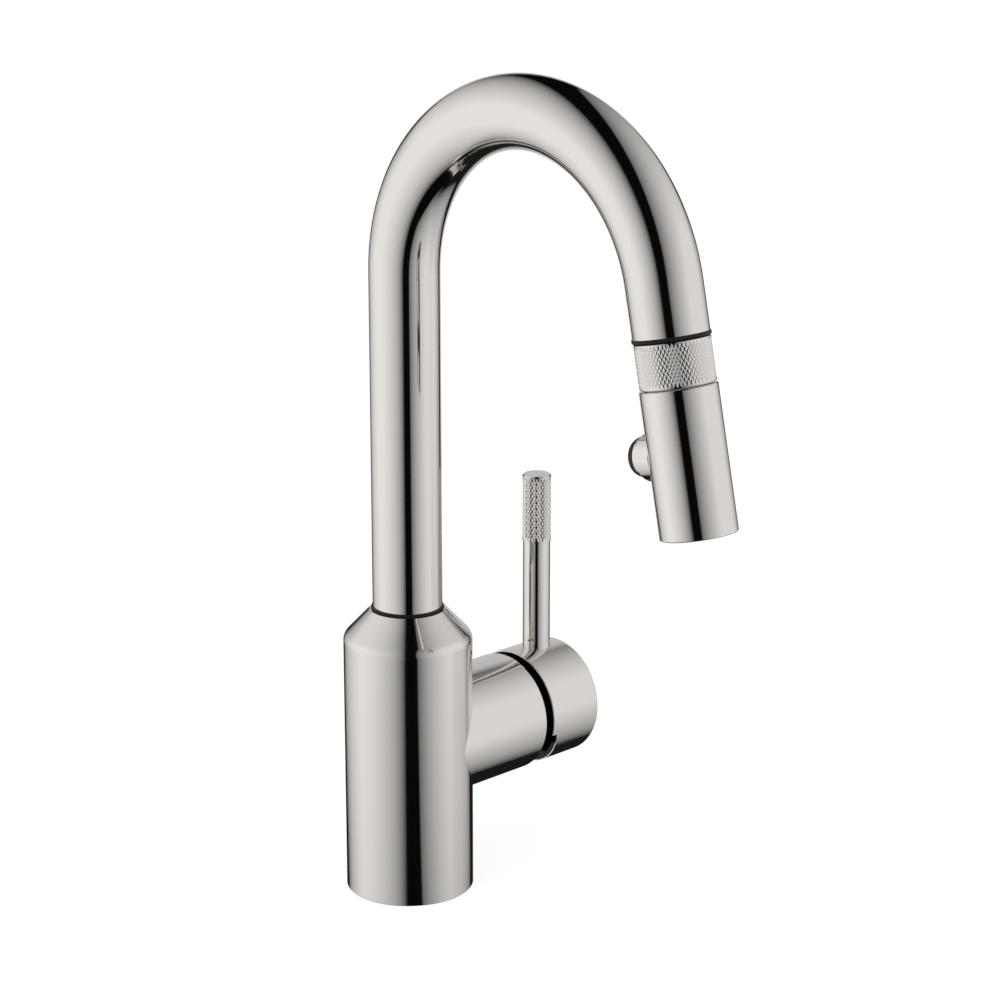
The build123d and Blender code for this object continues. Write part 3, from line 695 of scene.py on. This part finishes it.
def addHoseRun(settings):
    piece = addPipe("hoseRun", settings["sides"], settings["radius"], settings["lowEnd"], archCentre.z)
    pickRim(piece, archCentre.z)
    bpy.ops.mesh.spin(steps=settings["archSteps"], angle=-archTurn, center=archCentre, axis=(1, 0, 0))
    bpy.ops.mesh.select_all(action="SELECT")
    bpy.ops.mesh.remove_doubles(threshold=nearBy)
    closeMesh(piece)

    def archAngle(point):
        return max(0.0, math.atan2(point.z - archCentre.z, point.y - archCentre.y))

    def alongHose(point):
        low = min(point.z, archCentre.z) if point.y > archCentre.y else archCentre.z
        return low - settings["lowEnd"] + archAngle(point) * spoutLine["archRadius"]

    def aroundHose(point):
        angle = archAngle(point)
        out = (point.y - archCentre.y) * math.cos(angle) + (point.z - archCentre.z) * math.sin(angle)
        if angle == 0.0:
            out = point.y - archCentre.y
        return math.atan2(point.x, out - spoutLine["archRadius"]) / (2 * math.pi)

    wrapHose(piece, alongHose, aroundHose)
    thickenHose(piece, settings["wall"])
    dress(piece, "hoseBraid", "hose_braid", "spout", "spray_hose")


def addHoseTail(settings):
    length = spoutLine["tailLength"]
    drawLength = length - settings["drawEnd"]
    piece = addPipe("hoseTail", settings["sides"], settings["radius"], -length, -settings["drawEnd"])
    pickEdges(piece, lambda a, b: abs(a.z - b.z) > drawLength / 2)
    bpy.ops.mesh.subdivide(number_cuts=settings["drawRings"] - 1)
    pickRim(piece, -settings["drawEnd"])
    stepRim((1, 1), settings["drawEnd"])
    closeMesh(piece)

    # the braid is packed where the hose will be drawn out
    def alongHose(point):
        share = min(1.0, (point.z + length) / drawLength)
        return point.z + length + pullReach * share * share * (3 - 2 * share)

    def aroundHose(point):
        return math.atan2(point.x, -point.y) / (2 * math.pi)

    wrapHose(piece, alongHose, aroundHose)
    setPlace(piece, spoutEnd, archTurn)
    thickenHose(piece, settings["wall"])
    dress(piece, "hoseBraid", "hose_braid", None, "spray_hose")
    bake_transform(piece)


addHoseRun(hoseSettings)
addHoseTail(hoseSettings)
print("hose made")


def joinPieces(first, others):
    bpy.ops.object.select_all(action="DESELECT")
    for piece in (first, *others):
        piece.select_set(True)
    bpy.context.view_layer.objects.active = first
    bpy.ops.object.join()
    bpy.ops.object.shade_smooth_by_angle(angle=edgedAngle)


# winds a profile up round the z axis and closes its ends
def windProfile(piece, pitch, turns, steps):
    bpy.ops.object.modifier_add(type="SCREW")
    screw = piece.modifiers[-1]
    screw.screw_offset = pitch
    screw.iterations = turns
    screw.steps = steps
    screw.render_steps = steps
    bpy.ops.object.modifier_apply(modifier=screw.name)
    bpy.ops.object.mode_set(mode="EDIT")
    bpy.ops.mesh.select_all(action="SELECT")
    bpy.ops.mesh.remove_doubles(threshold=hair)
    bpy.ops.mesh.fill_holes(sides=0)
    closeMesh(piece)


# soft spray nozzles on one pad
nozzleSettings = {
    "padRadius": 12.53 * mm,
    "padBore": 4.62 * mm,
    "padLow": 63.2 * mm,        # from the end of the spout
    "padFace": 66.2 * mm,
    "padSides": 64,
    "rings": ((7.25 * mm, 10), (9.9 * mm, 15)),
    "radius": 0.8 * mm,
    "tip": 69.2 * mm,
    "chamfer": 0.2 * mm,
    "holeRadius": 0.38 * mm,
    "holeDepth": 1.6 * mm,
    "sink": 0.2 * mm,
    "sides": 12,
}


def addNozzle(settings, place):
    radius, chamfer, tip = settings["radius"], settings["chamfer"], settings["tip"]
    low = settings["padFace"] - settings["sink"]
    piece = addPipe("nozzle", settings["sides"], radius, low, tip - chamfer)
    pickRim(piece, tip - chamfer)
    stepRim((radius, radius - chamfer), chamfer)
    stepRim((radius - chamfer, settings["holeRadius"]))
    stepRim((1, 1), -settings["holeDepth"])
    bpy.ops.mesh.edge_face_add()
    pickRim(piece, low)
    bpy.ops.mesh.edge_face_add()
    closeMesh(piece)
    setPlace(piece, place)
    return piece


def addNozzlePad(settings):
    radius, bore = settings["padRadius"], settings["padBore"]
    pad = addPipe("nozzlePad", settings["padSides"], radius, settings["padLow"], settings["padFace"])
    for height in (settings["padLow"], settings["padFace"]):
        pickRim(pad, height)
        stepRim((radius, bore))
    bridgeBore(pad, bore)
    nozzles = []
    for reach, count in settings["rings"]:
        for index in range(count):
            angle = 2 * math.pi * index / count
            nozzles.append(addNozzle(settings, (reach * math.cos(angle), reach * math.sin(angle), 0)))
    joinPieces(pad, nozzles)
    setPlace(pad, spoutEnd, archTurn)
    dress(pad, "greySilicone", "silicone", "spray_head", "nozzle_pad")


addNozzlePad(nozzleSettings)

# threaded shank below the deck
shankSettings = {
    "bore": 14.6 * mm,
    "core": 15.35 * mm,
    "crest": 16.2 * mm,
    "pilot": 16.5 * mm,
    "spigot": 15.9 * mm,
    "top": 18.25 * mm,
    "threadTop": -18.0 * mm,
    "end": -60.0 * mm,
    "sides": 72,
    "pitch": 1.6 * mm,
    "turns": 25,
    "rootWidth": 1.4 * mm,
    "crestWidth": 0.35 * mm,
    "sink": 0.1 * mm,
    "threadStart": 0.9 * mm,    # from the end of the shank
}


def addThread(settings):
    inner, outer = settings["core"] - settings["sink"], settings["crest"]
    low = settings["end"] + settings["threadStart"]
    bpy.ops.object.select_all(action="DESELECT")
    bpy.ops.mesh.primitive_plane_add(size=1, rotation=(math.pi / 2, 0, 0))
    piece = bpy.context.object
    bpy.ops.object.transform_apply(location=True, rotation=True, scale=True)
    bpy.ops.object.mode_set(mode="EDIT")
    bpy.ops.mesh.select_all(action="SELECT")
    bpy.ops.transform.resize(value=(outer - inner, 1, settings["rootWidth"]), center_override=(0, 0, 0))
    pickVerts(piece, lambda point: point.x > 0)
    narrower = settings["crestWidth"] / settings["rootWidth"]
    bpy.ops.transform.resize(value=(1, 1, narrower), center_override=(0, 0, 0))
    bpy.ops.mesh.select_all(action="SELECT")
    bpy.ops.transform.translate(value=((inner + outer) / 2, 0, low))
    bpy.ops.mesh.delete(type="ONLY_FACE")
    bpy.ops.object.mode_set(mode="OBJECT")
    windProfile(piece, settings["pitch"], settings["turns"], settings["sides"])
    return piece


def addShank(settings):
    core, pilot, spigot, bore = (settings[key] for key in ("core", "pilot", "spigot", "bore"))
    piece = addPipe("threadedShank", settings["sides"], core, settings["end"], settings["threadTop"])
    pickRim(piece, settings["threadTop"])
    stepRim((core, pilot))
    stepRim((1, 1), -settings["threadTop"])
    stepRim((pilot, spigot))
    stepRim((1, 1), settings["top"])
    stepRim((spigot, bore))
    pickRim(piece, settings["end"])
    stepRim((core, bore))
    bridgeBore(piece, bore)
    joinPieces(piece, [addThread(settings)])
    dress(piece, "turnedBrass", "brass", "body", "mounting_shank")


addShank(shankSettings)

# the button's spring
springSettings = {
    "radius": 3.8 * mm,
    "wire": 0.7 * mm,
    "low": 9.17 * mm,           # from the head's axis
    "high": 19.63 * mm,
    "turns": 5,
    "steps": 32,
    "wireSides": 10,
}


def addSpring(settings):
    wire, low = settings["wire"], settings["low"]
    length = settings["high"] - low
    bpy.ops.object.select_all(action="DESELECT")
    bpy.ops.mesh.primitive_circle_add(vertices=settings["wireSides"], radius=wire / 2,
                                      location=(settings["radius"], 0, low), rotation=(math.pi / 2, 0, 0))
    piece = bpy.context.object
    piece.name = "buttonSpring"
    bpy.ops.object.transform_apply(location=True, rotation=True, scale=True)
    windProfile(piece, length / settings["turns"], settings["turns"], settings["steps"])
    bpy.ops.object.shade_smooth_by_angle(angle=roundAngle)
    setPlace(piece, buttonPlace, archTurn + math.pi / 2)
    dress(piece, "platedSteel", "steel", "spray_head", "button_spring")
    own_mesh(piece)


addSpring(springSettings)
print("nozzles, shank and spring made")

# stage: a studio seen only in reflections, bright to both sides with a dark gap between them
studio = {
    "radius": 0.52,
    "height": 0.2,
    "reach": 7.0,                   # half its length, and all the places below, in radii
    "facets": 96,
    "gap": (-0.04, 0.27),           # left and right edge of the dark gap
    "gapFoot": (-0.6, -0.95),       # its right edge leans out towards the ground
    "gapLean": 0.1,
    "ground": {"ahead": (-0.05, -0.45), "up": (-0.45, -0.65), "gap": (-0.47, 0.45)},
    "cards": {                      # dark cards stand left and right of the wall behind
        "ahead": (-0.6, -0.85),
        "foot": (-0.85, -0.65),
        "head": (0.5, 0.3),
        "gap": (-0.42, 0.75),
    },
    "peak": 1.15,
    "fade": 0.42,                   # how far from the gap a side is half bright
    "top": (1.0, 0.87),             # the most that the left and the right side give
    "rightFade": 1.5,               # how much slower the right side brightens
    "rightStep": 0.05,              # after a quick start
    "rightStart": (0.0, 0.03),
    "rightGround": {
        "up": (-0.7, -0.88),
        "ahead": (0.4, -0.15),
        "start": 0.5,
        "fade": 0.37,
        "top": 0.9,
        "end": 2.5,
    },
    "wall": {"level": 0.62, "ahead": (-0.8, -0.97), "sides": (-0.18, 0.42), "softEdge": 0.12},
    "dim": 0.003,                   # the least light from anywhere
    "groundDim": 0.009,             # and on the ground behind
}


def hideFromAll(piece, seen=()):
    for ray in ("camera", "diffuse", "glossy", "transmission", "volume_scatter", "shadow"):
        setattr(piece, "visible_" + ray, ray in seen)


def paintStudio(settings, right, back):
    paint = Finish("studioLight", (0, 0, 0), 1.0)
    x, y, z = paint.split(paint.place())
    radius = settings["radius"]

    def along(way):
        return paint.over(paint.plus(paint.times(x, way.x), paint.times(y, way.y)), radius)

    across, ahead = along(right), along(back)
    up = paint.over(paint.minus(z, settings["height"]), radius)
    groundSettings, cardSettings = settings["ground"], settings["cards"]
    ground = paint.times(paint.ease(ahead, *groundSettings["ahead"]), paint.ease(up, *groundSettings["up"]))
    cards = paint.times(paint.ease(ahead, *cardSettings["ahead"]), paint.ease(up, *cardSettings["foot"]),
                        paint.ease(up, *cardSettings["head"]))
    clear = paint.times(ground, paint.minus(1.0, cards))        # the ground between the cards

    def edge(side, extra):
        start = settings["gap"][side]
        moved = paint.plus(extra, paint.times(clear, groundSettings["gap"][side] - start))
        moved = paint.plus(moved, paint.times(cards, cardSettings["gap"][side] - start))
        return paint.plus(moved, start)

    def brightness(way, top):
        way = paint.atLeast(way, 0.0)
        share = paint.over(way, paint.plus(way, settings["fade"]))
        return paint.maths("MINIMUM", paint.times(share, settings["peak"]), top)

    leftWay = paint.minus(edge(0, 0.0), across)
    lean = paint.times(paint.ease(up, *settings["gapFoot"]), settings["gapLean"])
    beyond = paint.minus(across, edge(1, lean))
    quick = paint.times(paint.ease(beyond, *settings["rightStart"]), settings["rightStep"])
    rightWay = paint.plus(paint.over(beyond, settings["rightFade"]), quick)

    rightGround = settings["rightGround"]
    onward = paint.atLeast(paint.minus(across, rightGround["start"]), 0.0)
    share = paint.over(onward, paint.plus(onward, rightGround["fade"]))
    underneath = paint.times(paint.ease(up, *rightGround["up"]), paint.ease(ahead, *rightGround["ahead"]),
                             paint.ease(across, settings["reach"], rightGround["end"]))
    fromGround = paint.times(share, rightGround["top"], underneath)
    leftTop, rightTop = settings["top"]
    fromSide = paint.times(brightness(rightWay, rightTop), paint.minus(1.0, underneath))
    sides = paint.atLeast(brightness(leftWay, leftTop), paint.plus(fromSide, fromGround))

    wallSettings = settings["wall"]
    soft = wallSettings["softEdge"]
    wallLeft, wallRight = wallSettings["sides"]
    wall = paint.times(paint.ease(ahead, *wallSettings["ahead"]), wallSettings["level"],
                       paint.ease(across, wallLeft - soft, wallLeft),
                       paint.ease(across, wallRight + soft, wallRight))
    dim = paint.plus(paint.times(ground, settings["groundDim"]), settings["dim"])
    glow = paint.tree.nodes.new("ShaderNodeEmission")
    paint.feed(glow.inputs["Color"], paint.atLeast(paint.atLeast(sides, wall), dim))
    paint.feed(paint.tree.nodes["Material Output"].inputs["Surface"], glow.outputs[0])
    return paint.material


def addStudio(settings):
    back = Vector((viewBack.x, viewBack.y, 0)).normalized()
    right = Vector((-back.y, back.x, 0))
    bpy.ops.object.select_all(action="DESELECT")
    bpy.ops.mesh.primitive_cylinder_add(vertices=settings["facets"], radius=settings["radius"],
                                        depth=2 * settings["reach"] * settings["radius"],
                                        location=(0, 0, settings["height"]),
                                        rotation=right.to_track_quat("Z", "Y").to_euler())
    piece = bpy.context.object
    piece.name = "studio"
    bpy.ops.object.transform_apply(location=True, rotation=True, scale=True)
    piece.data.materials.append(paintStudio(settings, right, back))
    hideFromAll(piece, ("glossy",))


addStudio(studio)

floorSettings = {"size": 60.0, "white": 0.9, "roughness": 0.9, "shade": 0.25, "glow": 1.12}


def addFloor(settings):
    bpy.ops.object.select_all(action="DESELECT")
    bpy.ops.mesh.primitive_plane_add(size=settings["size"])
    piece = bpy.context.object
    piece.name = "floor"
    paint = Finish("floorPaint", (settings["white"],) * 3, settings["roughness"])
    glow = paint.tree.nodes.new("ShaderNodeEmission")
    glow.inputs["Strength"].default_value = settings["glow"]
    path = paint.tree.nodes.new("ShaderNodeLightPath")
    mix = paint.tree.nodes.new("ShaderNodeMixShader")
    paint.feed(mix.inputs[0], paint.times(path.outputs["Is Camera Ray"], 1 - settings["shade"]))
    paint.feed(mix.inputs[1], paint.shader.outputs[0])
    paint.feed(mix.inputs[2], glow.outputs[0])
    paint.feed(paint.tree.nodes["Material Output"].inputs["Surface"], mix.outputs[0])
    piece.data.materials.append(paint.material)
    piece.visible_glossy = False


addFloor(floorSettings)

skySettings = {"level": 0.8, "white": 1.0}


def addSky(settings):
    world = bpy.data.worlds.new("sky")
    bpy.context.scene.world = world
    world.use_nodes = True
    nodes, links = world.node_tree.nodes, world.node_tree.links
    soft = nodes["Background"]
    soft.inputs["Color"].default_value = (1, 1, 1, 1)
    soft.inputs["Strength"].default_value = settings["level"]
    white = nodes.new("ShaderNodeBackground")
    white.inputs["Color"].default_value = (1, 1, 1, 1)
    white.inputs["Strength"].default_value = settings["white"]
    path = nodes.new("ShaderNodeLightPath")
    seen = path.outputs["Is Camera Ray"]
    for ray in ("Is Glossy Ray", "Is Transmission Ray"):
        either = nodes.new("ShaderNodeMath")
        either.operation = "MAXIMUM"
        links.new(seen, either.inputs[0])
        links.new(path.outputs[ray], either.inputs[1])
        seen = either.outputs[0]
    mix = nodes.new("ShaderNodeMixShader")
    links.new(seen, mix.inputs[0])
    links.new(soft.outputs[0], mix.inputs[1])
    links.new(white.outputs[0], mix.inputs[2])
    links.new(mix.outputs[0], nodes["World Output"].inputs["Surface"])


addSky(skySettings)

lampSettings = {
    "keyLamp": {"place": (-1.6, -0.4, 1.6), "size": 1.2, "power": 9.0},
    "fillLamp": {"place": (0.9, -1.5, 1.2), "size": 1.2, "power": 5.0},
}


def addLamps(settings):
    for name, values in settings.items():
        bpy.ops.object.select_all(action="DESELECT")
        bpy.ops.object.light_add(type="AREA", location=values["place"])
        lamp = bpy.context.object
        lamp.name = name
        lamp.data.size = values["size"]
        lamp.data.energy = values["power"]
        lamp.rotation_euler = (-Vector(values["place"])).to_track_quat("-Z", "Y").to_euler()
        lamp.visible_glossy = False


addLamps(lampSettings)
print("stage set")

bpy.context.scene.view_settings.view_transform = "Standard"
